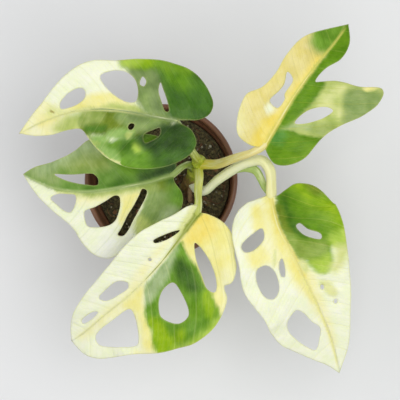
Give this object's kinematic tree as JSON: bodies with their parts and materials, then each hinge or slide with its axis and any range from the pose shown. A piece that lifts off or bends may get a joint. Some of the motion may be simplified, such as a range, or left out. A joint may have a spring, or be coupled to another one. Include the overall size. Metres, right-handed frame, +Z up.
{
  "type": "potted monstera adansonii",
  "caption": "Young variegated swiss cheese vine with holed heart-shaped leaves on arched petioles, in a small round nursery pot.",
  "frame": {"origin": "centre of the pot's underside, on the surface it stands on", "axes": "+Z up; +X to the right and +Y away from the viewer as the plant is seen in the picture"},
  "size_m": [0.1395, 0.1303, 0.1033],
  "materials": {
    "pot": "satin",
    "soil": "matte",
    "stem": "satin",
    "root": "matte",
    "leaf": "satin"
  },
  "bodies": {
    "root": {"pot": "pot", "soil": "soil", "stem": "stem", "aerial_root": "root", "leaf_front_left": "leaf", "leaf_back_left": "leaf", "leaf_left": "leaf", "leaf_right": "leaf", "leaf_front": "leaf"}
  },
  "joints": []
}
